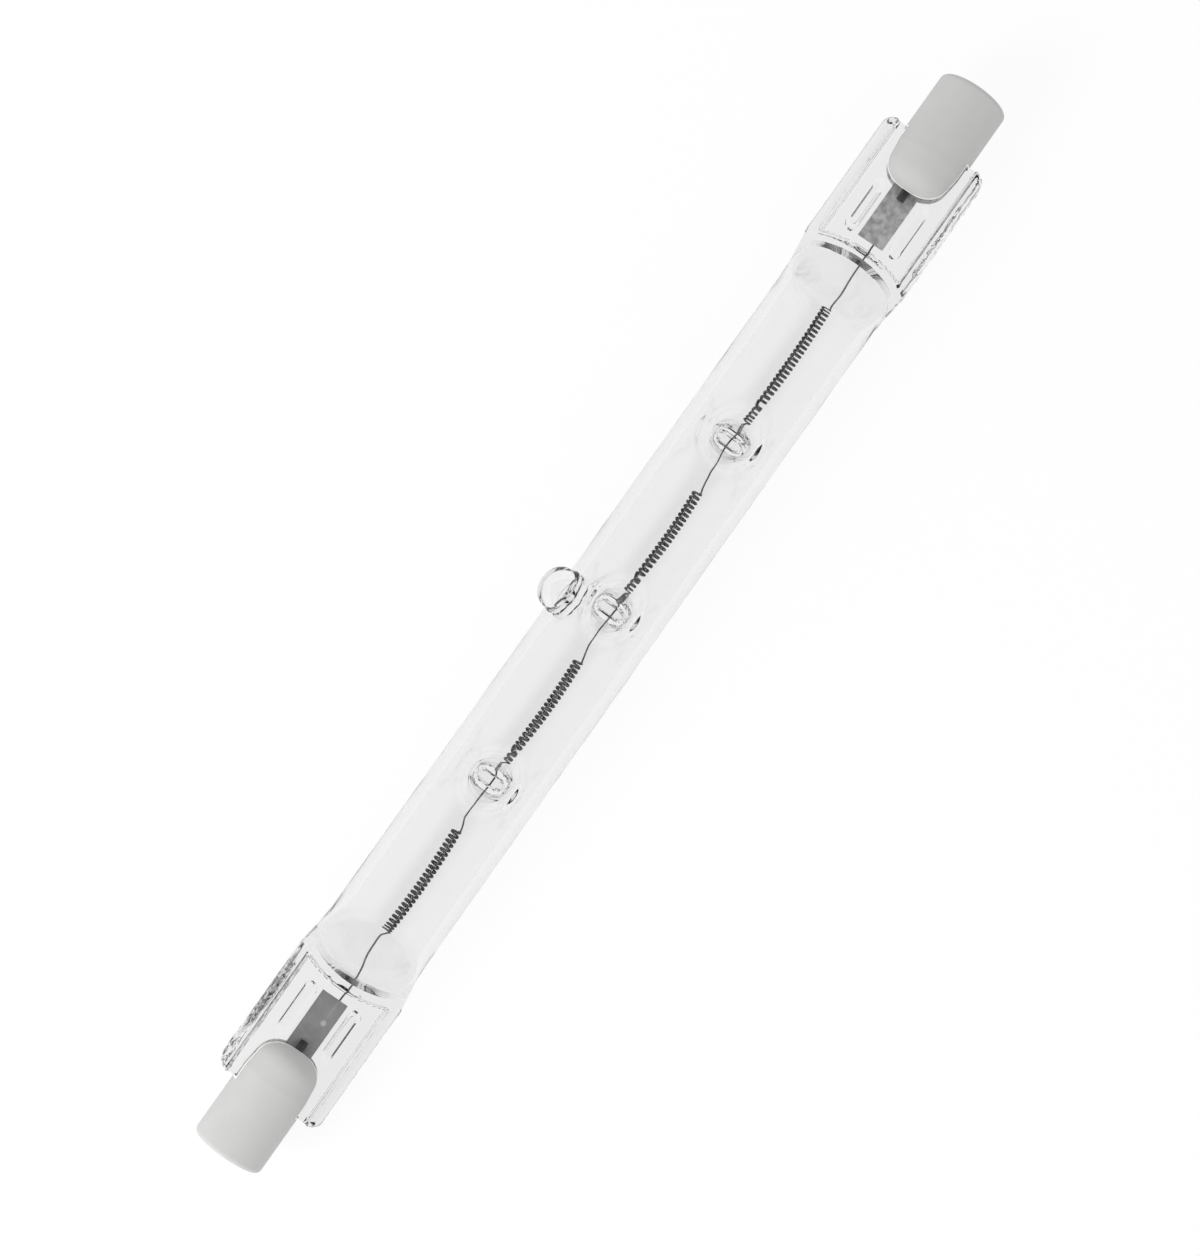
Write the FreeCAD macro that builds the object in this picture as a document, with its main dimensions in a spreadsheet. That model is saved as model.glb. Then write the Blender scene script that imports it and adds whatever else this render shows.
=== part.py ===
import FreeCAD, Part
import math
import os

import Sketcher
from FreeCAD import Placement, Rotation, Vector

# Double-ended linear halogen bulb. +X runs along the lamp to its right-hand end, +Z is square to the
# flat press seals, and the origin is the middle of the tube's axis. Millimetres and degrees.
driving = {
    "overall_length": 117.6,
    # quartz tube
    "tube_diameter": 10.0,
    "tube_wall": 1.1,
    "shoulder_length": 4.8,
    # press seals: a thin web between two thick flanges, the two seals turned a little apart
    "seal_length": 12.9,
    "seal_width": 10.9,
    "seal_corner": 1.0,
    "seal_twist": 5.0,
    "flange_thickness": 3.6,
    "flange_width": 1.15,
    "flange_round": 0.6,
    "web_thickness": 2.4,
    "web_bow": 0.9,
    "rib_width": 1.0,
    "rib_height": 0.25,
    "rib_spacing": 4.8,
    "rib_inset": 2.3,
    "rib_gap": 0.5,
    # wedge ends of the hollow
    "wedge_width": 8.2,
    "wedge_thickness": 1.6,
    "wedge_round": 0.6,
    "wedge_setback": 0.1,
    # dimples that grip the filament, pressed in from two sides
    "support_pitch": 18.8,
    "support_shift": 0.75,
    "dimple_turn": -9.0,
    "dimple_glass": 0.7,
    "dimple_wall": 0.5,
    "dimple_floor_width": 2.7,
    "dimple_floor_length": 1.3,
    "dimple_throat_width": 3.7,
    "dimple_throat_length": 2.7,
    "dimple_throat_height": 1.2,
    "dimple_mouth": 5.2,
    "grip_clearance": 0.02,
    # exhaust tip
    "tip_shift": 0.1,
    "tip_angle": 28.0,
    "tip_diameter": 4.0,
    "tip_skirt": 4.7,
    "tip_skirt_height": 0.6,
    "tip_height": 2.2,
    "tip_wall": 1.2,
    "tip_crown": 1.7,
    "tip_round": 1.4,
    # filament
    "wire_diameter": 0.16,
    "wire_sides": 6,
    "strand_diameter": 0.29,
    "coil_diameter": 1.03,
    "coil_pitch": 0.48,
    "coil_lead_in": 2.7,
    "coil_lead_out": 5.5,
    "coil_end_leg": 4.5,
    "coil_run_out": 1.1,
    # sealing foils and outer leads
    "foil_width": 2.7,
    "foil_thickness": 0.05,
    "foil_inset": 2.3,
    "foil_setback": 2.8,
    "leg_weld": 2.2,
    "lead_diameter": 0.78,
    "lead_show": 0.9,
    "lead_clearance": 0.02,
    # ceramic caps, their cement bed and the end contacts
    "cap_diameter": 7.0,
    "cap_base_length": 6.0,
    "cap_ear_length": 5.0,
    "ear_taper": 0.4,
    "ear_taper_length": 3.6,
    "ear_round": 2.2,
    "cap_edge_round": 0.5,
    "cement_bed": 0.15,
    "cement_end": 0.2,
    "recess_diameter": 3.6,
    "recess_depth": 1.7,
    "contact_diameter": 3.2,
    "contact_thickness": 0.6,
    "contact_bevel": 0.15,
    "contact_clearance": 0.03,
}

# Places along one end, counted from the middle of the lamp, and heights above its axis.
worked = {
    "cap_face": "overall_length / 2",
    "slot_floor": "cap_face - cap_base_length",
    "seal_end": "slot_floor - cement_end",
    "shoulder_end": "seal_end - seal_length",
    "tube_end": "shoulder_end - shoulder_length",
    "block_start": "shoulder_end + web_bow",
    "cap_nose": "seal_end - cap_ear_length",
    "wedge_end": "shoulder_end - wedge_setback",
    "tube_radius": "tube_diameter / 2",
    "bore_radius": "tube_radius - tube_wall",
    "web_half_width": "seal_width / 2 - flange_width",
    "bow_radius": "(web_half_width ^ 2 + web_bow ^ 2) / (2 * web_bow)",
    "rib_start": "shoulder_end + rib_inset",
    "rib_end": "cap_nose - rib_gap",
    "foil_start": "shoulder_end + foil_inset",
    "foil_end": "seal_end - foil_setback",
    "foil_under": "-lead_diameter / 2 - foil_thickness",
    "leg_end": "foil_start + leg_weld",
    "leg_height": "foil_under - wire_diameter / 2",
    "lead_start": "cap_nose - lead_show",
    "contact_front": "cap_face - recess_depth",
    "contact_rear": "contact_front - contact_thickness",
    "lead_hole_radius": "lead_diameter / 2 + lead_clearance",
    "slot_half": "web_thickness / 2 + cement_bed",
    "wire_corner": "wire_diameter / 2 / cos(180 deg / wire_sides)",
    "leg_hole_radius": "wire_corner + lead_clearance",
    "grip_height": "wire_corner + grip_clearance",
    "coil_reach": "wedge_end - coil_end_leg",
    "tip_top": "tube_radius + tip_height",
    "tip_bore_radius": "tip_diameter / 2 - tip_wall",
}

supports = 3  # pairs of dimples
coil_steps = 6  # straight runs to a turn of the coil
strand_sides = 5  # flats round the coiled strand
run_out_steps = 4  # straight runs where the wire winds out of a coil
shoulder_steps = 4  # stretches of a shoulder between its sections
side_turn = 14  # degrees of the round tube, from the middle of the seal's narrow side to its edge
corner_turn = 48  # degrees of the round tube, from that middle to the far edge of the rounding
whole = 360  # degrees
close = 1e-6  # millimetres within which two places are the same

doc = FreeCAD.newDocument("linear_halogen_bulb")
sheet = doc.addObject("Spreadsheet::Sheet", "sizes")
cells = list(driving.items()) + [(name, "=" + formula) for name, formula in worked.items()]
for row, (name, value) in enumerate(cells, start=1):
    sheet.set(f"A{row}", name)
    sheet.set(f"B{row}", str(value))
    sheet.setAlias(f"B{row}", name)
doc.recompute()


def size(name):
    return float(sheet.get(name))


twist = Rotation(Vector(1, 0, 0), -size("seal_twist"))
# Each end is drawn on the +X side, and the left one is the same end turned half round.
ends = {
    "right": Placement(Vector(), twist),
    "left": Placement(Vector(), Rotation(Vector(0, 0, 1), whole / 2) * twist),
}
along_x = Rotation(Vector(0, 1, 0), 90)


def add(kind, name, sizes, placement=Placement()):
    thing = doc.addObject(kind, name)
    for path, formula in sizes.items():
        thing.setExpression(path, formula)
    thing.Placement = placement
    return thing


def rod(name, start, end, radius, end_placement=Placement(), height="0"):
    # round bar along X between two places
    thing = add("Part::Cylinder", name, {"Radius": radius, "Height": f"({end}) - ({start})"})
    at = Vector(sheet.evalExpression(start), 0, sheet.evalExpression(height))
    thing.Placement = end_placement * Placement(at, along_x)
    return thing


def join(kind, name, shapes):
    # kind is Part::MultiFuse or Part::MultiCommon
    thing = doc.addObject(kind, name)
    thing.Shapes = shapes
    return thing


def cut(name, base, tool):
    thing = doc.addObject("Part::Cut", name)
    thing.Base = base
    thing.Tool = tool
    return thing


def shaped(name, shape):
    thing = doc.addObject("Part::Feature", name)
    thing.Shape = shape
    return thing


def sketch_on(body, role, name):
    sketch = body.newObject("Sketcher::SketchObject", name)
    plane = next(feature for feature in body.Origin.OriginFeatures if feature.Role == role)
    sketch.AttachmentSupport = [(plane, "")]
    sketch.MapMode = "FlatFace"
    return sketch


def tie(sketch, kind, geometry, point, formula):
    # holds one coordinate of a point, measured from the sketch's origin, at a formula's value
    if formula == "0":
        axis = {"DistanceX": -2, "DistanceY": -1}[kind]
        sketch.addConstraint(Sketcher.Constraint("PointOnObject", geometry, point, axis))
        return
    value = sketch.evalExpression(formula)
    index = sketch.addConstraint(Sketcher.Constraint(kind, -1, 1, geometry, point, value))
    sketch.setExpression(f"Constraints[{index}]", formula)


def outline(sketch, corners, bows={}):
    # closed outline through corners; a bow makes the side after that corner an arc (centre x, crown)
    points = [Vector(sketch.evalExpression(x), sketch.evalExpression(y), 0) for x, y in corners]
    count = len(points)
    for i, here in enumerate(points):
        there = points[(i + 1) % count]
        if i in bows:
            crown = Vector(*(sketch.evalExpression(place) for place in bows[i][1]), 0)
            sketch.addGeometry(Part.Arc(here, crown, there))
        else:
            sketch.addGeometry(Part.LineSegment(here, there))
    # an arc keeps its own order of ends, so the corner's end of each side is looked up
    first = []
    for i, here in enumerate(points):
        first.append(1 if sketch.getPoint(i, 1).distanceToPoint(here) < close else 2)
    for i in range(count):
        after = (i + 1) % count
        ends_here = (i, 3 - first[i], after, first[after])
        sketch.addConstraint(Sketcher.Constraint("Coincident", *ends_here))
    for i, (x, y) in enumerate(corners):
        tie(sketch, "DistanceX", i, first[i], x)
        tie(sketch, "DistanceY", i, first[i], y)
    for i, (centre_x, crown) in bows.items():
        tie(sketch, "DistanceX", i, 3, centre_x)


def new_body(name, placement=Placement()):
    body = doc.addObject("PartDesign::Body", name)
    body.Placement = placement
    return body


def revolved(body, role, axis, corners):
    sketch = sketch_on(body, role, body.Name + "_profile")
    outline(sketch, corners)
    turn = body.newObject("PartDesign::Revolution", body.Name + "_turned")
    turn.Profile = sketch
    turn.ReferenceAxis = (sketch, [axis])
    turn.Angle = whole
    doc.recompute()
    return turn


def padded(body, name, role, corners, thickness, bows={}):
    # slab half to each side of the sketch plane
    sketch = sketch_on(body, role, name + "_plan")
    outline(sketch, corners, bows)
    pad = body.newObject("PartDesign::Pad", name)
    pad.Profile = sketch
    pad.setExpression("Length", thickness)
    pad.SideType = "Symmetric"
    doc.recompute()
    return pad


def rounded(body, base, radius, picks):
    # fillet on the edges whose middle passes the test
    names = [f"Edge{i + 1}" for i, edge in enumerate(base.Shape.Edges) if picks(edge)]
    fillet = body.newObject("PartDesign::Fillet", f"{body.Name}_round_{len(body.Group)}")
    fillet.Base = (base, names)
    fillet.setExpression("Radius", radius)
    doc.recompute()
    return fillet


def is_ring(edge, x, radius):
    # full circle about the X axis at a place
    curve = edge.Curve
    if not isinstance(curve, Part.Circle):
        return False
    return abs(curve.Center.x - x) < close and abs(curve.Radius - radius) < close


# Quartz envelope


def section(x, radius, half_width, half_height, corner, share):
    # closed section across the axis, between a circle (share 0) and a rounded bar (share 1)
    flat = half_width - corner
    side = half_height - corner
    middle = corner * math.sqrt(0.5)
    bar = [  # start and middle of each stretch, anticlockwise from the right-hand side
        (half_width, -side), (half_width, 0),
        (half_width, side), (flat + middle, side + middle),
        (flat, half_height), (0, half_height),
        (-flat, half_height), (-flat - middle, side + middle),
        (-half_width, side), (-half_width, 0),
        (-half_width, -side), (-flat - middle, -side - middle),
        (-flat, -half_height), (0, -half_height),
        (flat, -half_height), (flat + middle, -side - middle),
    ]
    # the same stretches on the circle
    narrow, wide = math.radians(side_turn), math.radians(corner_turn)
    quarter = math.pi / 2
    turns = [-narrow, 0, narrow, (narrow + wide) / 2, wide, quarter]
    turns += [math.pi - turn for turn in (wide, (narrow + wide) / 2, narrow)]
    turns += [turn + math.pi for turn in (0, narrow, (narrow + wide) / 2, wide, quarter)]
    turns += [-wide, -(narrow + wide) / 2]
    points = []
    for (bar_y, bar_z), turn in zip(bar, turns):
        y = (1 - share) * radius * math.cos(turn) + share * bar_y
        z = (1 - share) * radius * math.sin(turn) + share * bar_z
        points.append(Vector(x, y, z))
    edges = []
    for i in range(0, len(points), 2):
        start, crown, stop = points[i], points[i + 1], points[(i + 2) % len(points)]
        straight = abs((crown - start).cross(stop - start).Length) < close
        curve = Part.LineSegment(start, stop) if straight else Part.Arc(start, crown, stop)
        edges.append(curve.toShape())
    return Part.Wire(edges)


def flattened(name, start, stop, radius, half_width, half_height, corner, end_placement):
    # round at one end, a rounded bar at the other, easing in and out between them
    wires = []
    for i in range(shoulder_steps + 1):
        along = i / shoulder_steps
        share = along * along * (3 - 2 * along)
        x = start + (stop - start) * along
        wires.append(section(x, radius, half_width, half_height, corner, share))
    thing = shaped(name, Part.makeLoft(wires, True))
    thing.Placement = end_placement
    return thing


def seal_block(side):
    # flat bar of the press seal, in line with the end of the shoulder
    body = new_body(f"seal_block_{side}", ends[side])
    half = "sizes.seal_width / 2"
    corners = [
        ("sizes.block_start", f"-{half}"), ("sizes.seal_end", f"-{half}"),
        ("sizes.seal_end", half), ("sizes.block_start", half),
    ]
    pad = padded(body, f"seal_bar_{side}", "XY_Plane", corners, "sizes.flange_thickness")
    flange_y, flange_z = size("seal_width") / 2, size("flange_thickness") / 2

    def long_edge(edge):
        middle = edge.CenterOfMass
        return abs(abs(middle.y) - flange_y) < close and abs(abs(middle.z) - flange_z) < close

    def end_corner(edge):
        middle = edge.CenterOfMass
        return abs(middle.x - size("seal_end")) < close and abs(abs(middle.y) - flange_y) < close

    cornered = rounded(body, pad, "sizes.seal_corner", end_corner)
    rounded(body, cornered, "sizes.flange_round", long_edge)
    return body


def web_relief(side):
    # what the press takes away on both faces, leaving the web; its inner end bows outwards
    beyond = "sizes.seal_end + sizes.cement_end"
    half = "sizes.web_half_width"
    corners = [
        ("sizes.shoulder_end", f"-{half}"), (beyond, f"-{half}"),
        (beyond, half), ("sizes.shoulder_end", half),
    ]
    crown = ("sizes.block_start", "0")
    slabs = []
    for label, thickness in (("press", "sizes.tube_diameter"), ("web", "sizes.web_thickness")):
        body = new_body(f"{label}_{side}", ends[side])
        bows = {3: ("sizes.block_start - sizes.bow_radius", crown)}
        padded(body, f"{label}_slab_{side}", "XY_Plane", corners, thickness, bows)
        slabs.append(body)
    return cut(f"web_relief_{side}", *slabs)


def ribs(side):
    # two raised bars with round ends on each face of the web, one to each side of the foil
    bars = []
    for hand in (-1, 1):
        body = new_body(f"rib_{side}_{len(bars)}", ends[side])
        near = f"{hand} * sizes.rib_spacing / 2 - sizes.rib_width / 2"
        far = f"{hand} * sizes.rib_spacing / 2 + sizes.rib_width / 2"
        reach = "sizes.rib_width / 2"
        bar_start = f"sizes.rib_start + {reach}"
        bar_end = f"sizes.rib_end - {reach}"
        centre = f"{hand} * sizes.rib_spacing / 2"
        corners = [(bar_start, near), (bar_end, near), (bar_end, far), (bar_start, far)]
        bows = {
            1: (bar_end, ("sizes.rib_end", centre)),
            3: (bar_start, ("sizes.rib_start", centre)),
        }
        height = "sizes.web_thickness + 2 * sizes.rib_height"
        padded(body, f"rib_bar_{side}_{len(bars)}", "XY_Plane", corners, height, bows)
        bars.append(body)
    return bars


def dimple(name, index, side, glass, wall):
    # funnel on one side of the tube, from its small oval floor up to its round mouth; glass is the
    # thickness left under it and wall what is added round it
    place = f"sizes.support_shift + {index - (supports - 1) / 2} * sizes.support_pitch"
    turn = Rotation(Vector(1, 0, 0), size("dimple_turn") + (0 if side == "front" else whole / 2))
    crosswise = Rotation(Vector(0, 0, 1), 90)
    floor = f"sizes.grip_height + {glass}"
    levels = [
        (floor, "sizes.dimple_floor_width", "sizes.dimple_floor_length"),
        (
            f"{floor} + sizes.dimple_throat_height",
            "sizes.dimple_throat_width",
            "sizes.dimple_throat_length",
        ),
        (f"sizes.tube_radius + {glass}", "sizes.dimple_mouth", "sizes.dimple_mouth"),
    ]
    rings = []
    for level, (height, across, along) in enumerate(levels):
        ring = add(
            "Part::Ellipse",
            f"{name}_{index}_{side}_{level}",
            {"MajorRadius": f"({across}) / 2 + {wall}", "MinorRadius": f"({along}) / 2 + {wall}"},
        )
        at = Vector(sheet.evalExpression(place), 0, 0)
        up = Placement(Vector(0, 0, sheet.evalExpression(height)), crosswise)
        ring.Placement = Placement(at, turn) * up
        rings.append(ring)
    funnel = doc.addObject("Part::Loft", f"{name}_{index}_{side}")
    funnel.Sections = rings
    funnel.Solid = True
    funnel.Ruled = True
    return funnel


def exhaust_tip():
    # closed stub of the exhaust tube, and the hollow inside it
    lean = Rotation(Vector(1, 0, 0), size("tip_angle") - 90)
    placement = Placement(Vector(size("tip_shift"), 0, 0), lean)
    stub = new_body("tip_stub", placement)
    skirt_top = "sizes.tube_radius + sizes.tip_skirt_height"
    corners = [
        ("0", "0"), ("sizes.tip_skirt / 2", "0"),
        ("sizes.tip_skirt / 2", "sizes.tube_radius - sizes.tip_skirt_height"),
        ("sizes.tip_diameter / 2", skirt_top), ("sizes.tip_diameter / 2", "sizes.tip_top"),
        ("0", "sizes.tip_top"),
    ]
    turned = revolved(stub, "XZ_Plane", "V_Axis", corners)
    top = size("tip_top")
    rounded(stub, turned, "sizes.tip_round", lambda edge: abs(edge.BoundBox.ZMin - top) < close)
    hollow = new_body("tip_hollow", placement)
    shoulder = "sizes.tube_radius + sizes.tip_height - sizes.tip_crown - sizes.tip_bore_radius / 2"
    corners = [
        ("0", "0"), ("sizes.tip_bore_radius", "0"), ("sizes.tip_bore_radius", shoulder),
        ("0", "sizes.tip_top - sizes.tip_crown"),
    ]
    revolved(hollow, "XZ_Plane", "V_Axis", corners)
    return stub, hollow


def quartz_envelope(metal):
    # metal is what the press seals are closed round
    stub, hollow = exhaust_tip()
    outer = [rod("tube", "-sizes.tube_end", "sizes.tube_end", "sizes.tube_radius"), stub]
    inner = [rod("bore", "-sizes.tube_end", "sizes.tube_end", "sizes.bore_radius"), hollow]
    bars = []
    reliefs = []
    for side, placement in ends.items():
        outer.append(flattened(
            f"shoulder_{side}", size("tube_end"), size("block_start"), size("tube_radius"),
            size("seal_width") / 2, size("flange_thickness") / 2, size("flange_round"), placement,
        ))
        outer.append(seal_block(side))
        inner.append(flattened(
            f"wedge_{side}", size("tube_end"), size("wedge_end"), size("bore_radius"),
            size("wedge_width") / 2, size("wedge_thickness") / 2, size("wedge_round"), placement,
        ))
        reliefs.append(web_relief(side))
        bars += ribs(side)
    craters, bosses = [], []
    for index in range(supports):
        for side in ("front", "back"):
            craters.append(dimple("crater", index, side, "sizes.dimple_glass", "0"))
            bosses.append(dimple("boss", index, side, "0", "sizes.dimple_wall"))
    blank = cut(
        "pressed_blank",
        join("Part::MultiFuse", "drawn_blank", outer),
        join("Part::MultiFuse", "pressed_away", reliefs + craters),
    )
    hollow = cut(
        "hollow",
        join("Part::MultiFuse", "drawn_hollow", inner),
        join("Part::MultiFuse", "dimple_backs", bosses),
    )
    return cut(
        "quartz_envelope",
        join("Part::MultiFuse", "ribbed_blank", [blank] + bars),
        join("Part::MultiFuse", "inside", [hollow] + metal),
    )


# Filament


def ring_corners(centre, along, plane, facing, radius, sides):
    # corners of a many-sided bar that runs along a line, where a plane through centre cuts it
    across = facing - along * facing.dot(along)
    across.normalize()
    beside = along.cross(across)
    reach = radius / math.cos(math.pi / sides)
    corners = []
    for k in range(sides):
        turn = math.pi * (2 * k + 1) / sides
        corner = centre + across * (reach * math.cos(turn)) + beside * (reach * math.sin(turn))
        corners.append(slid(corner, along, centre, plane))
    return corners


def slid(point, along, centre, plane):
    # the point moved along a line until it lies in the plane through centre
    return point + along * ((centre - point).dot(plane) / along.dot(plane))


def bar_rings(path, radius, sides, facing, first_plane=None, last_plane=None):
    # rings of corners along a path of straight runs, mitred at its bends
    runs = []
    for here, there in zip(path, path[1:]):
        run = there - here
        runs.append(run.normalize())
    planes = [first_plane or runs[0]]
    planes += [(before + after).normalize() for before, after in zip(runs, runs[1:])]
    planes.append(last_plane or runs[-1])
    rings = [ring_corners(path[0], runs[0], planes[0], facing, radius, sides)]
    for run, centre, plane in zip(runs, path[1:], planes[1:]):
        rings.append([slid(corner, run, centre, plane) for corner in rings[-1]])
    return rings


def halving(before, here, after):
    # direction square to the plane that halves the bend at here
    return ((here - before).normalize() + (after - here).normalize()).normalize()


def loop(corners):
    return Part.makePolygon(corners + corners[:1])


def bar_faces(rings):
    faces = []
    for ring, following in zip(rings, rings[1:]):
        for k in range(len(ring)):
            after = (k + 1) % len(ring)
            faces.append(Part.Face(loop([ring[k], ring[after], following[after], following[k]])))
    return faces


def coil_path(start, stop):
    radius = (size("coil_diameter") - size("strand_diameter")) / 2
    turns = max(1, round((stop - start) / size("coil_pitch")))
    count = turns * coil_steps
    path = []
    for i in range(count + 1):
        turn = 2 * math.pi * i / coil_steps
        x = start + (stop - start) * i / count
        path.append(Vector(x, radius * math.cos(turn), radius * math.sin(turn)))
    return path


def run_out(coil_end, hand):
    # the wire winds out of the coil's end to the axis; hand is 1 towards +X and -1 towards -X
    radius = math.hypot(coil_end.y, coil_end.z)
    path = []
    for i in range(1, run_out_steps + 1):
        along = i / run_out_steps
        turn = hand * math.pi * along
        reach = radius * (1 - along)
        x = coil_end.x + hand * size("coil_run_out") * along
        path.append(Vector(x, reach * math.cos(turn), reach * math.sin(turn)))
    return path


def filament():
    # one wire from foil to foil: leg, coil, link, coil, link, coil, link, coil, leg
    places = []
    for index in range(supports):
        share = index - (supports - 1) / 2
        places.append(size("support_shift") + share * size("support_pitch"))
    starts = [-size("coil_reach")] + [place + size("coil_lead_in") for place in places]
    stops = [place - size("coil_lead_out") for place in places] + [size("coil_reach")]
    coils = [coil_path(start, stop) for start, stop in zip(starts, stops)]

    def leg(side):
        local = [
            Vector(size("leg_end"), 0, size("leg_height")),
            Vector(size("wedge_end") - size("coil_run_out"), 0, size("leg_height")),
        ]
        return [ends[side].multVec(point) for point in local]

    straights = [leg("left") + run_out(coils[0][0], -1)[::-1] + coils[0][:1]]
    for before, after in zip(coils, coils[1:]):
        ways = before[-1:] + run_out(before[-1], 1) + run_out(after[0], -1)[::-1] + after[:1]
        straights.append(ways)
    straights.append(coils[-1][-1:] + run_out(coils[-1][-1], 1) + leg("right")[::-1])

    # wire and strand meet in the plane that halves the bend between them
    entries = [halving(way[-2], coil[0], coil[1]) for way, coil in zip(straights, coils)]
    exits = [halving(coil[-2], coil[-1], way[1]) for coil, way in zip(coils, straights[1:])]
    strands = []
    for coil, entry, leave in zip(coils, entries, exits):
        radius = size("strand_diameter") / 2
        strands.append(bar_rings(coil, radius, strand_sides, Vector(1, 0, 0), entry, leave))
    wires = []
    for i, way in enumerate(straights):
        radius, sides = size("wire_diameter") / 2, int(size("wire_sides"))
        first = exits[i - 1] if i > 0 else None
        if i < len(coils):
            up = ends["left"].multVec(Vector(0, 0, 1))
            wires.append(bar_rings(way, radius, sides, up, first, entries[i]))
        else:
            # drawn from the foil inwards, so that a flat of the wire lies on the foil
            up = ends["right"].multVec(Vector(0, 0, 1))
            wires.append(bar_rings(way[::-1], radius, sides, up, None, first)[::-1])

    faces = [Part.Face(loop(wires[0][0])), Part.Face(loop(wires[-1][-1]))]
    for i, strand in enumerate(strands):
        faces += bar_faces(strand)
        for ring, hole in ((strand[0], wires[i][-1]), (strand[-1], wires[i + 1][0])):
            step = Part.makeFace([loop(ring), loop(hole)], "Part::FaceMakerBullseye")
            faces += step.Faces
    for wire in wires:
        faces += bar_faces(wire)
    shell = Part.makeShell(faces)
    shell.sewShape()
    solid = Part.makeSolid(shell)
    if solid.Volume < 0:
        solid.reverse()
    return shaped("filament", solid)


# Foils, leads, caps, cement and contacts


def foil(name, side):
    box = add("Part::Box", name, {
        "Length": "sizes.foil_end - sizes.foil_start",
        "Width": "sizes.foil_width",
        "Height": "sizes.foil_thickness",
    })
    corner = Vector(size("foil_start"), -size("foil_width") / 2, size("foil_under"))
    box.Placement = ends[side] * Placement(corner, Rotation())
    return box


def cap_blank(side):
    # cap before its slot and bore: a cylinder with a tapered, round-nosed inner end
    body = new_body(f"cap_blank_{side}", ends[side])
    radius = "sizes.cap_diameter / 2"
    corners = [
        ("sizes.cap_nose", "0"), ("sizes.cap_nose", f"{radius} - sizes.ear_taper"),
        ("sizes.cap_nose + sizes.ear_taper_length", radius), ("sizes.cap_face", radius),
        ("sizes.cap_face", "0"),
    ]
    turned = revolved(body, "XY_Plane", "H_Axis", corners)
    nose, face = size("cap_nose"), size("cap_face")
    full = size("cap_diameter") / 2
    slim = full - size("ear_taper")
    nosed = rounded(body, turned, "sizes.ear_round", lambda edge: is_ring(edge, nose, slim))
    rounded(body, nosed, "sizes.cap_edge_round", lambda edge: is_ring(edge, face, full))
    return body


def stepped_bore(side):
    # contact recess, contact seat and lead hole
    body = new_body(f"stepped_bore_{side}", ends[side])
    recess = "sizes.recess_diameter / 2"
    seat = "sizes.contact_diameter / 2 + sizes.contact_clearance"
    beyond = "sizes.cap_face + sizes.recess_depth"
    corners = [
        ("sizes.cap_nose", "0"), ("sizes.cap_nose", "sizes.lead_hole_radius"),
        ("sizes.contact_rear", "sizes.lead_hole_radius"), ("sizes.contact_rear", seat),
        ("sizes.contact_front", seat), ("sizes.contact_front", recess), (beyond, recess),
        (beyond, "0"),
    ]
    revolved(body, "XY_Plane", "H_Axis", corners)
    return body


def slab(name, side, start, stop, half):
    # full-width slab on the lamp's mid-plane, wider than the cap
    box = add("Part::Box", name, {
        "Length": f"{stop} - ({start})",
        "Width": "2 * sizes.cap_diameter",
        "Height": f"2 * {half}",
    })
    low = Vector(sheet.evalExpression(start), -size("cap_diameter"), -sheet.evalExpression(half))
    box.Placement = ends[side] * Placement(low, Rotation())
    return box


def contact_button(name, side):
    body = new_body(name, ends[side])
    radius = "sizes.contact_diameter / 2"
    corners = [
        ("sizes.contact_rear", "0"), ("sizes.contact_rear", radius),
        ("sizes.contact_front - sizes.contact_bevel", radius),
        ("sizes.contact_front", f"{radius} - sizes.contact_bevel"), ("sizes.contact_front", "0"),
    ]
    revolved(body, "XY_Plane", "H_Axis", corners)
    return body


nodes = []
metal = []
for side, placement in ends.items():
    strip = foil(f"sealing_foil_{side}", side)
    lead = rod(
        f"outer_lead_{side}", "sizes.lead_start", "sizes.contact_rear", "sizes.lead_diameter / 2",
        placement,
    )
    lead_hole = rod(
        f"lead_hole_{side}", "sizes.lead_start - sizes.lead_clearance", "sizes.slot_floor",
        "sizes.lead_hole_radius", placement,
    )
    leg_hole = rod(
        f"leg_hole_{side}", "sizes.wedge_end - sizes.coil_run_out",
        "sizes.leg_end + sizes.lead_clearance", "sizes.leg_hole_radius", placement,
        "sizes.leg_height",
    )
    metal += [strip, lead_hole, leg_hole]
    blank = cap_blank(side)
    inside_nose = "sizes.cap_nose - sizes.cap_ear_length"
    slot = slab(f"slot_{side}", side, inside_nose, "sizes.slot_floor", "sizes.slot_half")
    web = slab(
        f"web_gap_{side}", side, inside_nose, "sizes.seal_end", "sizes.web_thickness / 2"
    )
    hollow_cap = join("Part::MultiFuse", f"cap_hollow_{side}", [slot, stepped_bore(side)])
    cap = cut(f"ceramic_cap_{side}", blank, hollow_cap)
    bed = join("Part::MultiCommon", f"cement_bed_{side}", [blank, slot])
    web_and_lead = join("Part::MultiFuse", f"cement_hollow_{side}", [web, lead_hole])
    cement = cut(f"cement_{side}", bed, web_and_lead)
    button = contact_button(f"contact_button_{side}", side)
    nodes += [strip, lead, cap, cement, button]
nodes.append(quartz_envelope(metal))
nodes.append(filament())
doc.recompute()

for thing in doc.Objects:
    if "Invalid" in thing.State or "Error" in thing.State:
        raise RuntimeError(f"{thing.Name} failed: {thing.State}")
for node in nodes:
    if node.Shape.isNull() or not node.Shape.isValid():
        raise RuntimeError(f"{node.Label} has no valid shape")
os.makedirs("parts", exist_ok=True)
for node in nodes:
    node.Shape.exportStep(f"parts/{node.Label}.step")
    print(f"{node.Label}: {len(node.Shape.Solids)} solid, {node.Shape.Volume:.3f} mm3")
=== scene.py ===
import math

import bmesh
import bpy
import numpy as np
from mathutils import Matrix, Vector


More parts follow.
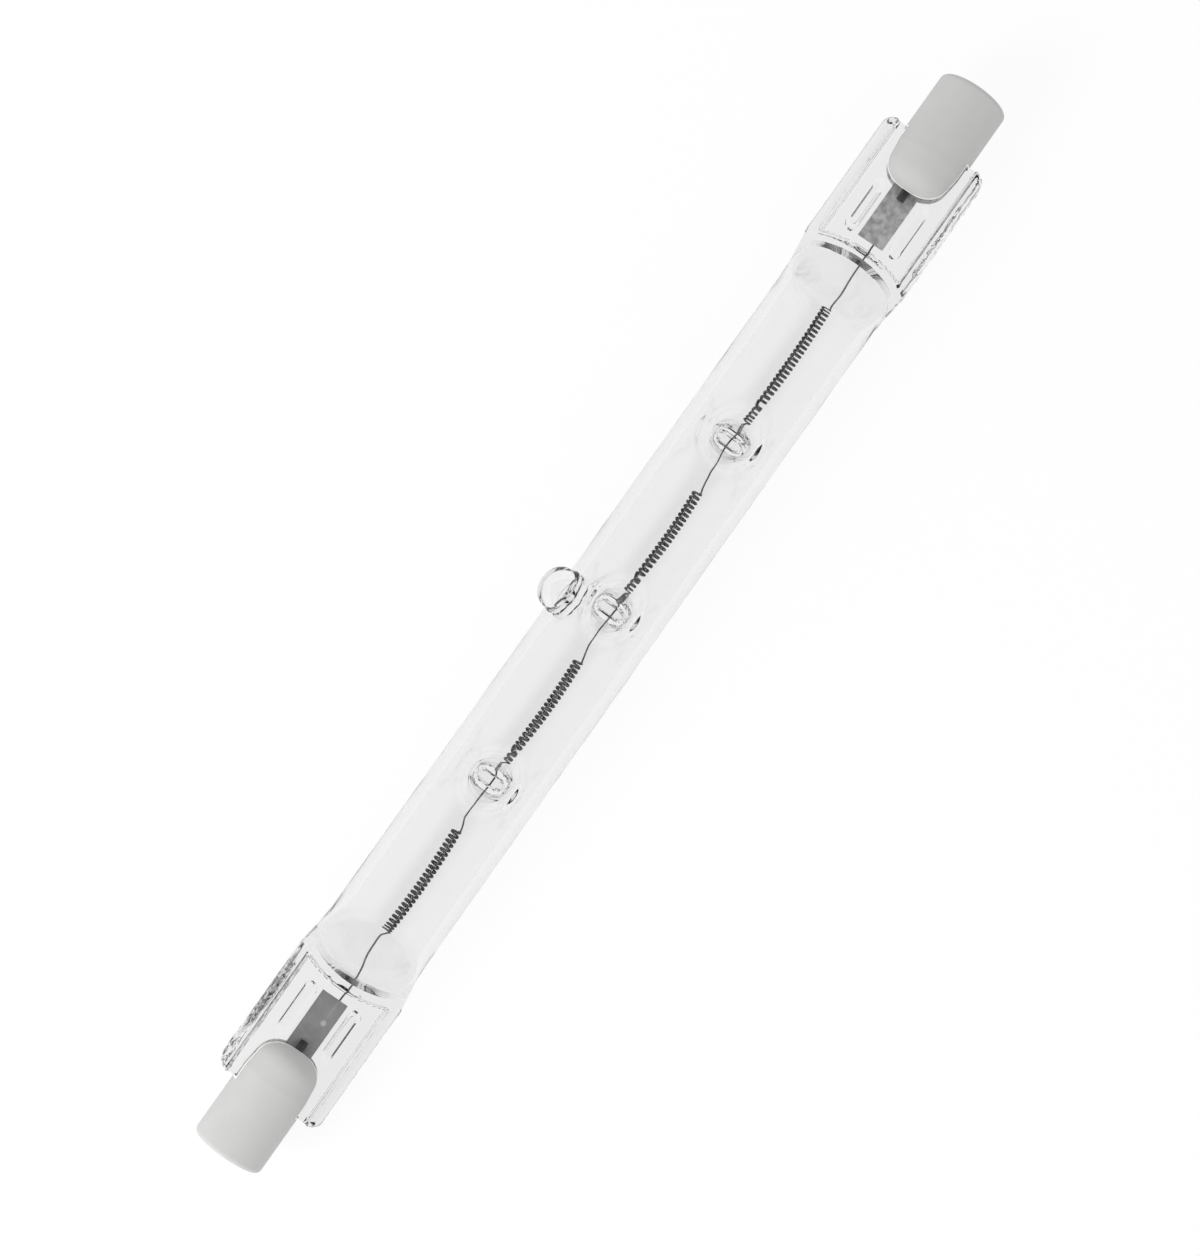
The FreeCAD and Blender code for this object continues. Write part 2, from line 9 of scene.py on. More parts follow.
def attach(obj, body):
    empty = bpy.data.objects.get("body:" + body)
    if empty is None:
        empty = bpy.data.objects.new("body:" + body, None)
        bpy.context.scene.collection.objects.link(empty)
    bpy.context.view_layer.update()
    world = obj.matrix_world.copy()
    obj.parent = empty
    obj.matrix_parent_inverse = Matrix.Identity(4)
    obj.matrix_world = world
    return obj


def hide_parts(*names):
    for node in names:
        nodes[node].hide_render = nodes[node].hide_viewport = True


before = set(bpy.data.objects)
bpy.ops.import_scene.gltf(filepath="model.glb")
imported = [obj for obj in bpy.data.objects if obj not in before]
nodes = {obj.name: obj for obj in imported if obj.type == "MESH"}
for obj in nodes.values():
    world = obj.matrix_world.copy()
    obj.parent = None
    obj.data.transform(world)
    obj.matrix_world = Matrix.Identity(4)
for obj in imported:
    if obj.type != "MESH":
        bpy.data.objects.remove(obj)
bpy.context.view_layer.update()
mm = 0.001
glassCrease = 40.0  # degrees, past which an edge stays sharp
wireCrease = 60.0
print("frame loaded:", len(nodes), "nodes")


def ease(value):
    share = np.clip(value, 0.0, 1.0)
    return share * share * (3.0 - 2.0 * share)


def placed(name, data):
    thing = bpy.data.objects.new(name, data)
    bpy.context.scene.collection.objects.link(thing)
    return thing


def smoothed(mesh, creaseAngle):
    mesh.shade_smooth()
    mesh.set_sharp_from_angle(angle=math.radians(creaseAngle))


def newPiece(name, points, faces, material=None):
    mesh = bpy.data.meshes.new(name)
    mesh.from_pydata([tuple(p) for p in points], [], faces)
    mesh.validate()
    smoothed(mesh, glassCrease)
    if material:
        mesh.materials.append(material)
    return placed(name, mesh)


def plainMesh(piece, name, material):
    # the evaluated shape as a mesh of its own, without its modifiers
    graph = bpy.context.evaluated_depsgraph_get()
    mesh = bpy.data.meshes.new_from_object(piece.evaluated_get(graph))
    mesh.name = name
    mesh.materials.clear()
    mesh.materials.append(material)
    bpy.data.objects.remove(piece, do_unlink=True)
    return placed(name, mesh)


# Materials

glassLook = {
    "tint": 0.965,
    "ior": 1.458,
    "absorption": 34.0,
    "rippleScale": 160.0,
    "rippleDetail": 1.0,
    "rippleStrength": 0.06,
    "rippleDepth": 0.001,
    "shadowTone": 0.9,
}
metal = {"metallic": 1.0, "roughness": 0.5}
finishes = {
    "tungsten": {
        "name": "tungstenWire", "tones": (0.10, 0.22), "scale": 900.0, "metallic": 1.0, "roughness": 0.45,
    },
    "foilLeft": {"name": "molybdenumFoil", "tones": (0.51, 0.61), "scale": 900.0, "relief": 0.2, **metal},
    # painted light: the same molybdenum as the left foil, given lighter tones
    "foilRightPaintedLit": {
        "name": "molybdenumFoilPaintedLit", "tones": (0.58, 0.95), "scale": 1700.0, "relief": 0.4, **metal,
    },
    "lead": {"name": "molybdenumLead", "tones": (0.05, 0.12), "scale": 800.0, **metal},
    "nickel": {
        "name": "nickelContact", "tones": (0.45, 0.62), "scale": 700.0, "metallic": 1.0, "roughness": 0.35,
        "warmth": (1.0, 0.98, 0.93),
    },
    "ceramic": {
        "name": "matteCeramic", "tones": (0.515, 0.53), "scale": 420.0, "metallic": 0.0, "roughness": 0.75,
        "warmth": (1.0, 1.0, 0.99), "detail": 8.0, "relief": 0.25,
    },
    "cement": {
        "name": "capCement", "tones": (0.86, 0.95), "scale": 1500.0, "metallic": 0.0, "roughness": 0.9,
        "warmth": (1.0, 1.0, 0.98), "detail": 6.0, "relief": 0.4,
    },
}
noiseBand = (0.35, 0.65)  # the part of a noise's range that its values mostly fill
reliefDepth = 0.0001


def newMaterial(name):
    material = bpy.data.materials.new(name)
    material.use_nodes = True
    tree = material.node_tree
    return material, tree, tree.nodes["Principled BSDF"]


# Oval marks: each has its place and half sizes in millimetres along x and y, and a strength

weldMarks = {  # the filament's leg, welded to the back of the lower foil
    "tone": 0.95,
    "ovals": (((-43.1, -0.4), (1.5, 0.16), 0.4), ((-44.5, -0.4), (0.34, 0.34), 2.0)),
}
paintedSealShade = {  # the dark strip on the lower seal's edge, painted shade: a near-black tint of the glass, broken up by noise grain; the edge's real roughness is in the shape
    "tone": 0.015,
    "grain": 2600.0,
    "grainLeast": 0.4,
    "ovals": (((-44.6, 5.12), (4.8, 0.52), 4.0),),
}


def markColour(tree, marks):
    colour = tree.nodes["Principled BSDF"].inputs["Base Color"]
    base = colour.links[0].from_socket if colour.links else None
    place = tree.nodes.new("ShaderNodeTexCoord")
    tone = marks["tone"]
    for centre, half, strength in marks["ovals"]:
        mapping = tree.nodes.new("ShaderNodeMapping")
        mapping.inputs["Scale"].default_value = (1.0 / (half[0] * mm), 1.0 / (half[1] * mm), 0.0)
        mapping.inputs["Location"].default_value = (-centre[0] / half[0], -centre[1] / half[1], 0.0)
        oval = tree.nodes.new("ShaderNodeTexGradient")
        oval.gradient_type = "SPHERICAL"
        share = tree.nodes.new("ShaderNodeMath")
        share.operation = "MULTIPLY"
        share.use_clamp = True
        share.inputs[1].default_value = strength
        mix = tree.nodes.new("ShaderNodeMix")
        mix.data_type = "RGBA"
        mix.inputs["A"].default_value = colour.default_value
        mix.inputs["B"].default_value = (tone, tone, tone, 1.0)
        tree.links.new(place.outputs["Object"], mapping.inputs["Vector"])
        tree.links.new(mapping.outputs["Vector"], oval.inputs["Vector"])
        tree.links.new(oval.outputs["Fac"], share.inputs[0])
        factor = share.outputs[0]
        if "grain" in marks:
            noise = tree.nodes.new("ShaderNodeTexNoise")
            noise.inputs["Scale"].default_value = marks["grain"]
            ramp = tree.nodes.new("ShaderNodeMapRange")
            ramp.inputs["From Min"].default_value = noiseBand[0]
            ramp.inputs["From Max"].default_value = noiseBand[1]
            ramp.inputs["To Min"].default_value = marks["grainLeast"]
            grained = tree.nodes.new("ShaderNodeMath")
            grained.operation = "MULTIPLY"
            tree.links.new(place.outputs["Object"], noise.inputs["Vector"])
            tree.links.new(noise.outputs["Fac"], ramp.inputs["Value"])
            tree.links.new(factor, grained.inputs[0])
            tree.links.new(ramp.outputs["Result"], grained.inputs[1])
            factor = grained.outputs[0]
        tree.links.new(factor, mix.inputs["Factor"])
        if base:
            tree.links.new(base, mix.inputs["A"])
        base = mix.outputs["Result"]
    tree.links.new(base, colour)


def quartzGlass():
    # clear for shadows and stray light, so that the glass shades the floor only lightly
    material, tree, shader = newMaterial("clearQuartz")
    look = glassLook
    tint, shadowTone = look["tint"], look["shadowTone"]
    shader.inputs["Base Color"].default_value = (tint, tint, tint, 1.0)
    shader.inputs["Roughness"].default_value = 0.0
    shader.inputs["IOR"].default_value = look["ior"]
    shader.inputs["Transmission Weight"].default_value = 1.0
    # painted shade on the lower seal's edge, as a near-black tint of the glass
    markColour(tree, paintedSealShade)
    place = tree.nodes.new("ShaderNodeTexCoord")
    ripple = tree.nodes.new("ShaderNodeTexNoise")
    ripple.inputs["Scale"].default_value = look["rippleScale"]
    ripple.inputs["Detail"].default_value = look["rippleDetail"]
    bump = tree.nodes.new("ShaderNodeBump")
    bump.inputs["Strength"].default_value = look["rippleStrength"]
    bump.inputs["Distance"].default_value = look["rippleDepth"]
    tree.links.new(place.outputs["Object"], ripple.inputs["Vector"])
    tree.links.new(ripple.outputs["Fac"], bump.inputs["Height"])
    tree.links.new(bump.outputs["Normal"], shader.inputs["Normal"])
    path = tree.nodes.new("ShaderNodeLightPath")
    either = tree.nodes.new("ShaderNodeMath")
    either.operation = "MAXIMUM"
    clear = tree.nodes.new("ShaderNodeBsdfTransparent")
    clear.inputs["Color"].default_value = (shadowTone, shadowTone, shadowTone, 1.0)
    mix = tree.nodes.new("ShaderNodeMixShader")
    tree.links.new(path.outputs["Is Shadow Ray"], either.inputs[0])
    tree.links.new(path.outputs["Is Diffuse Ray"], either.inputs[1])
    tree.links.new(either.outputs[0], mix.inputs[0])
    tree.links.new(shader.outputs[0], mix.inputs[1])
    tree.links.new(clear.outputs[0], mix.inputs[2])
    tree.links.new(mix.outputs[0], tree.nodes["Material Output"].inputs["Surface"])
    haze = tree.nodes.new("ShaderNodeVolumeAbsorption")
    haze.inputs["Color"].default_value = (0.0, 0.0, 0.0, 1.0)
    haze.inputs["Density"].default_value = look["absorption"]
    tree.links.new(haze.outputs[0], tree.nodes["Material Output"].inputs["Volume"])
    return material


def mottled(name, tones, scale, metallic, roughness, warmth=(1.0, 1.0, 1.0), detail=4.0, relief=0.0):
    # a grey that drifts between two tones, with a fine relief where asked
    material, tree, shader = newMaterial(name)
    place = tree.nodes.new("ShaderNodeTexCoord")
    noise = tree.nodes.new("ShaderNodeTexNoise")
    noise.inputs["Scale"].default_value = scale
    noise.inputs["Detail"].default_value = detail
    ramp = tree.nodes.new("ShaderNodeValToRGB")
    for element, level, tone in zip(ramp.color_ramp.elements, noiseBand, tones):
        element.position = level
        element.color = (tone * warmth[0], tone * warmth[1], tone * warmth[2], 1.0)
    tree.links.new(place.outputs["Object"], noise.inputs["Vector"])
    tree.links.new(noise.outputs["Fac"], ramp.inputs["Fac"])
    tree.links.new(ramp.outputs["Color"], shader.inputs["Base Color"])
    shader.inputs["Metallic"].default_value = metallic
    shader.inputs["Roughness"].default_value = roughness
    if relief:
        bump = tree.nodes.new("ShaderNodeBump")
        bump.inputs["Strength"].default_value = relief
        bump.inputs["Distance"].default_value = reliefDepth
        tree.links.new(noise.outputs["Fac"], bump.inputs["Height"])
        tree.links.new(bump.outputs["Normal"], shader.inputs["Normal"])
    return material


clearQuartz = quartzGlass()
tungsten = mottled(**finishes["tungsten"])
foilLeft = mottled(**finishes["foilLeft"])
markColour(foilLeft.node_tree, weldMarks)
# the right foil's lighter tones are painted light on the same molybdenum
foilRightPaintedLit = mottled(**finishes["foilRightPaintedLit"])
leadMetal = mottled(**finishes["lead"])
nickel = mottled(**finishes["nickel"])
ceramic = mottled(**finishes["ceramic"])
cement = mottled(**finishes["cement"])
for side, foil in (("left", foilLeft), ("right", foilRightPaintedLit)):
    for node, material in (
        ("sealing_foil", foil), ("outer_lead", leadMetal), ("ceramic_cap", ceramic),
        ("cement", cement), ("contact_button", nickel),
    ):
        nodes[f"{node}_{side}"].material_slots[0].material = material
print("materials ready")


# Quartz envelope: sizes in millimetres and degrees

quartz = {
    "tubeRadius": 5.0,
    "boreRadius": 3.9,
    "tubeEnd": 34.9,
    "shoulderEnd": 39.7,
    "bow": 0.9,
    "sealEnd": 52.6,
    "sealHalf": 5.45,
    "flangeHalf": 1.8,
    "flangeRound": 0.6,
    "stepOuter": 4.45,
    "stepInner": 4.15,
    "webHalf": 1.2,
    "pressDepth": 0.45,
    "twist": 5.0,
    "wedgeStart": 33.5,
    "wedgeEnd": 40.0,
    "wedgeHalf": 4.1,
    "wedgeGap": 1.05,
    "wedgeNose": 0.9,
    "wedgeBow": 1.1,
    "ribPlace": 2.4,
    "ribStart": 42.0,
    "ribEnd": 47.1,
    "ribHalf": 0.5,
    "ribHeight": 0.25,
    "ribSlope": 0.14,
    "corner": 1.0,
    "grain": 0.12,
    "coarseGrain": 0.3,
    "grainStart": 41.3,
    "grainEdge": 0.02,
    "grainTop": 0.5,
    "grainSeed": 7,
}
meshRows = {  # distances between the rows of points along the tube, and how far a stretch laps over
    "shoulderLap": 1.0,
    "pressLap": (0.3, 0.6),
    "ribsLap": 0.4,
    "outerTube": 1.6,
    "shoulder": 0.38,
    "press": 0.14,
    "ribs": 0.26,
    "seal": 0.45,
    "corner": 0.14,
    "innerTube": 2.0,
    "wedge": 0.3,
    "nose": 0.09,
    "outerDimple": ((-3.9, -1.5, 0.3), (-1.5, 1.5, 0.1), (1.5, 3.9, 0.3)),
    "innerDimple": ((-4.4, -1.7, 0.3), (-1.7, 1.7, 0.11), (1.7, 4.4, 0.3)),
}
boreColumns = {"count": 144, "crowding": 0.25, "noseClosed": 0.97}
dimple = {
    "places": (-18.05, 0.75, 19.55),
    "turn": 4.0,
    "grip": 0.11,
    "glass": 0.7,
    "wall": 0.18,
    "heights": (0.0, 0.3, 0.55, 0.85, 1.6, 3.0, 4.6),
    "across": (1.42, 1.47, 1.65, 1.7, 2.0, 2.7, 3.6),
    "steep": (1.42, 1.47, 1.65, 1.7, 1.84, 2.18, 2.7),
    "steepSides": ((-1,), (-1, 1), (-1,)),
    "squareness": (2.8, 2.0),
    "along": (0.45, 0.5, 1.15, 1.22, 1.55, 2.35, 3.4),
    "mouthBlend": 1.4,
    "outside": 4.0,
    "squareUpTo": 0.5,
    "nearLong": 7.0,
    "nearWide": 4.7,
    "steepGain": 1.6,
    "steepFrom": 0.3,
    "halvings": 30,
}
tip = {
    "place": -0.5,
    "angle": 28.0,
    "mound": (0.2, 2.0),
    "moundFrom": 2.0,
    "outline": ((0.4, 7.1), (2.05, 5.6), (2.12, 5.3), (2.25, 5.02), (2.48, 4.78), (2.85, 4.5), (2.85, 4.0)),
    "hollow": (
        (0.0, 6.1), (0.6, 6.0), (1.1, 5.7), (1.4, 5.3), (1.45, 5.0), (1.3, 4.8), (0.7, 4.68),
        (0.5, 4.5), (0.5, 3.4),
    ),
    "pole": 0.06,
    "arcSteps": 12,
    "stubSides": 72,
    "hollowSides": 48,
}


def rowPlaces(reach, fine, plainStep):
    # rows from end to end, at their own step in the fine stretches
    rows, here = [], -reach
    tiny = 1e-9

    def spaced(start, stop, step):
        return list(np.linspace(start, stop, max(1, round((stop - start) / step)), endpoint=False))

    for start, stop, step in sorted(fine) + [(reach, reach, 1.0)]:
        start, stop = max(start, here), min(stop, reach)
        if start - here > tiny:
            rows += spaced(here, start, plainStep)
            here = start
        if stop > here:
            rows += spaced(here, stop, step)
            here = stop
    return np.array(rows + [reach])


def dimpleRows(stretches):
    places = dimple["places"]
    return [(place + start, place + stop, step) for place in places for start, stop, step in stretches]


def fullTurn(quarter, signs):
    # a section's four quarters from +Y round by +Z; the signs tell how a value mirrors
    ahead, back = np.asarray(quarter)[:-1], np.asarray(quarter)[:0:-1]
    return np.concatenate([ahead, signs[0] * back, signs[1] * ahead, signs[2] * back])


def sealColumns():
    # a quarter of the seal's outline, unpressed and pressed, beside the tube angles it grows from
    q = quartz
    side, centre = q["flangeHalf"] - q["flangeRound"], q["sealHalf"] - q["flangeRound"]
    high, low = q["flangeHalf"], q["webHalf"]

    def line(start, stop, level):
        return lambda share: (start + (stop - start) * share, level)

    def edge(share):
        return q["sealHalf"], side * share

    def corner(share):
        turn = share * math.pi / 2
        return centre + q["flangeRound"] * math.cos(turn), side + q["flangeRound"] * math.sin(turn)

    def step(share):
        across = q["stepOuter"] + (q["stepInner"] - q["stepOuter"]) * share
        return across, high + (low - high) * float(ease(share))

    flange, web = line(centre, q["stepOuter"], high), line(q["stepInner"], 0.0, low)
    stretches = (  # columns, angles on the tube, outline before and after pressing
        (7, 0, 14, edge, edge),
        (7, 14, 30, corner, corner),
        (4, 30, 38, flange, flange),
        (6, 38, 48, line(q["stepOuter"], q["stepInner"], high), step),
        (27, 48, 90, line(q["stepInner"], 0.0, high), web),
    )
    rows = []
    for count, first, last, bar, pressed in stretches:
        for i in range(count):
            share = i / count
            angle = math.radians(first + (last - first) * share)
            rows.append((math.cos(angle), math.sin(angle), *bar(share), *pressed(share)))
    rows.append((0.0, 1.0, 0.0, high, 0.0, low))
    acrossSigns, upSigns = (-1, -1, 1), (1, -1, -1)
    return [fullTurn(v, acrossSigns if i % 2 == 0 else upSigns) for i, v in enumerate(np.array(rows).T)]


def turned(y, z, angle):
    return y * np.cos(angle) - z * np.sin(angle), y * np.sin(angle) + z * np.cos(angle)


def softMin(a, b, blend):
    mix = np.clip(0.5 + 0.5 * (b - a) / blend, 0.0, 1.0)
    return b + (a - b) * mix - blend * mix * (1.0 - mix)


def funnelHeight(dx, dy, floor, wall, across):
    # height of a dimple's wall where its oval, square-cornered at the floor, passes through a point
    def extended(values):
        return np.append(np.array(values), values[-1] + dimple["outside"])

    heights, wide = extended(dimple["heights"]) + floor, extended(across) + wall
    long = extended(dimple["along"]) + wall
    square, plain = dimple["squareness"]
    low, high = np.full(dx.shape, heights[0]), np.full(dx.shape, heights[-1])
    for _ in range(dimple["halvings"]):
        middle = (low + high) / 2
        power = square + (plain - square) * ease(middle - floor - dimple["squareUpTo"])
        beyond = np.abs(dy / np.interp(middle, heights, wide)) ** power
        beyond += np.abs(dx / np.interp(middle, heights, long)) ** power
        low, high = np.where(beyond > 1, middle, low), np.where(beyond > 1, high, middle)
    return (low + high) / 2


def pressDimples(x, y, z, glass, wall):
    # from the front and from the back, steeper on the given sides of the front ones
    tiny = 1e-6
    for place, steepSides in zip(dimple["places"], dimple["steepSides"]):
        for half, signs in ((0.0, steepSides), (math.pi, ())):
            turn = math.radians(dimple["turn"]) + half
            ly, lz = turned(y, z, -turn)
            near = (np.abs(x - place) < dimple["nearLong"]) & (np.abs(ly) < dimple["nearWide"]) & (lz > 0)
            dx, dy = x[near] - place, ly[near]
            floor = dimple["grip"] + glass
            height = funnelHeight(dx, dy, floor, wall, dimple["across"])
            for sign in signs:
                side = dimple["steepGain"] * sign * dy / np.maximum(np.hypot(dx, dy), tiny)
                steep = funnelHeight(dx, dy, floor, wall, dimple["steep"])
                height += (steep - height) * ease(side - dimple["steepFrom"])
            lz[near] = softMin(lz[near], height, dimple["mouthBlend"])
            y, z = turned(ly, lz, turn)
    return y, z


def raiseMound(x, y, z):
    # the tube's wall drawn up round the foot of the exhaust tip
    rise, width = tip["mound"]
    angle = math.radians(tip["angle"])
    out, beside = turned(y, z, -angle)
    reach = np.hypot(x - tip["place"], beside)
    out += rise * np.exp(-(reach / width) ** 2) * ease(out - tip["moundFrom"])
    return turned(out, beside, angle)


def bandFaces(rows, columns, first, outward):
    faces = []
    for r in range(rows - 1):
        for c in range(columns):
            a, b = first + r * columns + c, first + r * columns + (c + 1) % columns
            quad = (a, b, b + columns, a + columns)
            faces.append(quad if outward else quad[::-1])
    return faces


def endFaces(columns, first, outward):
    # strips from the upper half of an end section to the lower half
    faces = []
    for i in range(columns // 2):
        loop = (i, i + 1, (columns - i - 1) % columns, (columns - i) % columns)
        face = [first + index for index in dict.fromkeys(loop)]
        if len(face) > 2:
            faces.append(tuple(face if outward else face[::-1]))
    return faces


def mirroredStretches(stretches):
    return list(stretches) + [(-stop, -start, step) for start, stop, step in stretches]


def outerSkin():
    q = quartz
    blockStart = q["shoulderEnd"] + q["bow"]
    pressStart, pressEnd = q["shoulderEnd"] - meshRows["pressLap"][0], blockStart + meshRows["pressLap"][1]
    ribsEnd, cornerStart = q["ribEnd"] + meshRows["ribsLap"], q["sealEnd"] - q["corner"]
    fine = dimpleRows(meshRows["outerDimple"]) + mirroredStretches((
        (q["tubeEnd"] - meshRows["shoulderLap"], pressStart, meshRows["shoulder"]),
        (pressStart, pressEnd, meshRows["press"]),
        (pressEnd, ribsEnd, meshRows["ribs"]),
        (ribsEnd, cornerStart, meshRows["seal"]),
        (cornerStart, q["sealEnd"], meshRows["corner"]),
    ))
    rows = rowPlaces(q["sealEnd"], fine, meshRows["outerTube"])
    cosines, sines, barY, barZ, webY, webZ = sealColumns()
    x = np.repeat(rows[:, None], len(cosines), axis=1)
    off = np.abs(x)
    share = ease((off - q["tubeEnd"]) / (blockStart - q["tubeEnd"]))
    y = (1 - share) * q["tubeRadius"] * cosines + share * barY
    z = (1 - share) * q["tubeRadius"] * sines + share * barZ
    bowLine = q["shoulderEnd"] + q["bow"] * (1 - (webY / q["stepOuter"]) ** 2)
    press = ease((off - bowLine) / q["pressDepth"])
    y += (webY - y) * press
    z += (webZ - z) * press
    ribLong = np.clip(off, q["ribStart"] + q["ribHalf"], q["ribEnd"] - q["ribHalf"])
    away = np.hypot(off - ribLong, np.abs(y) - q["ribPlace"])
    rib = 1 - ease((away - q["ribHalf"] + q["ribSlope"]) / q["ribSlope"])
    z += np.sign(z) * q["ribHeight"] * rib * press * (np.abs(webY) < q["stepInner"])
    bend = np.clip((off - q["sealEnd"] + q["corner"]) / q["corner"], 0, 1)
    kept = q["sealHalf"] - q["corner"]
    beyond = np.maximum(np.abs(y) - kept, 0)
    marks = np.random.default_rng(q["grainSeed"])
    rough = (np.abs(y) > q["sealHalf"] - q["grainTop"]) & (z > 0) & (x * y < 0)
    rough |= np.abs(y) > q["sealHalf"] - q["grainEdge"]
    rough &= off > q["grainStart"]
    depth = np.where((x < 0) & (y > 0), q["coarseGrain"], q["grain"])
    y -= np.sign(y) * rough * depth * marks.random(y.shape)
    y -= np.sign(y) * beyond * (1 - np.sqrt(1 - bend * bend))
    y, z = turned(y, z, -math.radians(q["twist"]) * np.clip(x / q["tubeEnd"], -1, 1))
    y, z = raiseMound(x, y, z)
    y, z = pressDimples(x, y, z, dimple["glass"], 0.0)
    return x, y, z


def innerSkin():
    q = quartz
    nose = q["wedgeEnd"] - q["wedgeNose"]
    fine = dimpleRows(meshRows["innerDimple"]) + mirroredStretches((
        (q["wedgeStart"], nose, meshRows["wedge"]),
        (nose, q["wedgeEnd"], meshRows["nose"]),
    ))
    rows = rowPlaces(q["wedgeEnd"], fine, meshRows["innerTube"])
    count = boreColumns["count"]
    angles = 2 * math.pi * np.arange(count) / count
    angles += boreColumns["crowding"] * np.sin(2 * angles)  # closer together above and below the axis
    x = np.repeat(rows[:, None], count, axis=1)
    off = np.abs(x)
    along = np.clip((off - q["tubeEnd"]) / (q["wedgeEnd"] - q["tubeEnd"]), 0, 1)
    share = ease((off - q["wedgeStart"]) / (nose - q["wedgeStart"]))
    closing = 1 - boreColumns["noseClosed"] * np.clip((off - nose) / q["wedgeNose"], 0, 1)
    wedge = q["wedgeHalf"] * np.cos(angles)
    y = (1 - share) * q["boreRadius"] * np.cos(angles) + share * wedge
    z = ((1 - share) * q["boreRadius"] + share * q["wedgeGap"] * closing) * np.sin(angles)
    x = x - np.sign(x) * along * q["wedgeBow"] * (wedge / q["wedgeHalf"]) ** 2
    y, z = turned(y, z, -math.radians(q["twist"]) * np.clip(x / q["tubeEnd"], -1, 1))
    y, z = pressDimples(x, y, z, 0.0, dimple["wall"])
    return x, y, z


def spunSolid(name, outline, sides):
    # a solid of revolution on the tip's axis, with outline points as (radius, distance out)
    angle = math.radians(tip["angle"])
    points = []
    ring = [2 * math.pi * i / sides for i in range(sides)]
    for radius, out in outline:
        for a in ring:
            beside = radius * math.sin(a)
            points.append((
                (tip["place"] + radius * math.cos(a)) * mm,
                (out * math.cos(angle) - beside * math.sin(angle)) * mm,
                (out * math.sin(angle) + beside * math.cos(angle)) * mm,
            ))
    faces = bandFaces(len(outline), sides, 0, True)
    faces.append(tuple(range(sides))[::-1])
    faces.append(tuple(range((len(outline) - 1) * sides, len(outline) * sides)))
    solid = newPiece(name, points, faces)
    shape = bmesh.new()
    shape.from_mesh(solid.data)
    bmesh.ops.recalc_face_normals(shape, faces=shape.faces)
    shape.to_mesh(solid.data)
    shape.free()
    return solid


def stubOutline():
    # a dome with a rounded shoulder, over a wall that flares to its foot
    (crown, top), (wide, shoulder) = tip["outline"][:2]
    arc, steps = [(tip["pole"], top)], tip["arcSteps"]
    for i in range(steps + 1):
        a = i / steps * math.pi / 2
        arc.append((crown + (wide - crown) * math.sin(a), shoulder + (top - shoulder) * math.cos(a)))
    return arc + list(tip["outline"][2:])


def quartzEnvelope():
    points, faces = [], []
    for outward, (x, y, z) in ((True, outerSkin()), (False, innerSkin())):
        first = len(points)
        rows, columns = x.shape
        points += list(np.stack([x, y, z], axis=-1).reshape(-1, 3) * mm)
        faces += bandFaces(rows, columns, first, outward)
        faces += endFaces(columns, first, not outward)
        faces += endFaces(columns, first + (rows - 1) * columns, outward)
    body = newPiece("quartzBody", points, faces, clearQuartz)
    stub = spunSolid("tipStub", stubOutline(), tip["stubSides"])
    cavity = [(max(radius, tip["pole"]), out) for radius, out in tip["hollow"]]
    hollow = spunSolid("tipHollow", cavity, tip["hollowSides"])
    for tool, operation in ((stub, "UNION"), (hollow, "DIFFERENCE")):
        cut = body.modifiers.new(operation, "BOOLEAN")
        cut.operation, cut.object, cut.solver = operation, tool, "MANIFOLD"
    done = plainMesh(body, "quartzEnvelope", clearQuartz)
    for tool in (stub, hollow):
        bpy.data.objects.remove(tool, do_unlink=True)
    smoothed(done.data, glassCrease)
    return done


def triangles(piece):
    return sum(len(face.vertices) - 2 for face in piece.data.polygons)


envelope = quartzEnvelope()
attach(envelope, "root")
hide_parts("quartz_envelope")
print("quartz envelope:", triangles(envelope), "triangles")


# Filament: sizes in millimetres

wire = {
    "coilRadius": 0.38,
    "coilPitch": 0.46,
    "strandRadius": 0.095,
    "strandPitch": 0.17,
    "strandWire": 0.055,
    "linkRadius": 0.085,
    "bow": -0.22,
    "runs": (
        ((-35.1, -0.22), (-23.55, -0.22)),
        ((-15.35, -0.24), (-4.75, -0.36)),
        ((3.45, -0.26), (14.05, -0.34)),
        ((22.25, -0.22), (35.1, -0.22)),
    ),
    "links": (
        ((-23.65, -0.6), (-23.1, -0.45), (-22.3, -0.1), (-21.0, -0.1), (-19.5, -0.18), (-18.05, -0.24),
         (-17.3, -0.2), (-16.95, 0.0)),
        ((-4.85, -0.74), (-4.2, -0.55), (-3.3, -0.3), (-2.0, -0.22), (-0.6, -0.3), (0.75, -0.38),
         (1.6, -0.4), (1.9, -0.2)),
        ((13.95, -0.72), (14.6, -0.5), (15.6, -0.3), (17.0, -0.12), (18.5, 0.0), (19.55, 0.0),
         (20.4, -0.12), (20.8, -0.2)),
    ),
    "stubs": (
        ((-17.0, 0.05), (-15.8, 0.08), 0.12),
        ((1.85, -0.15), (3.1, -0.45), 0.26),
        ((20.7, -0.22), (21.9, -0.1), 0.14),
    ),
    "legs": (
        ((-35.0, -0.6), (-35.5, -0.35), (-36.2, -0.08), (-38.0, -0.38), (-39.6, -0.52), (-41.8, -0.42),
         (-44.2, -0.4)),
        ((35.0, -0.6), (35.6, -0.5), (36.6, -0.47), (38.0, -0.47), (39.6, -0.45), (41.8, -0.42),
         (44.2, -0.4)),
    ),
    "legBack": -0.52,
    "legShares": (0.0, 0.0, 0.0, 0.4, 0.7, 1.0, 1.0),
    "hookLap": 0.05,
    "hookRise": 0.05,
    "hookReach": 0.03,
    "pointsPerStrandTurn": 8,
    "sides": 5,
    "linkSides": 8,
    "pathSteps": 8,
}


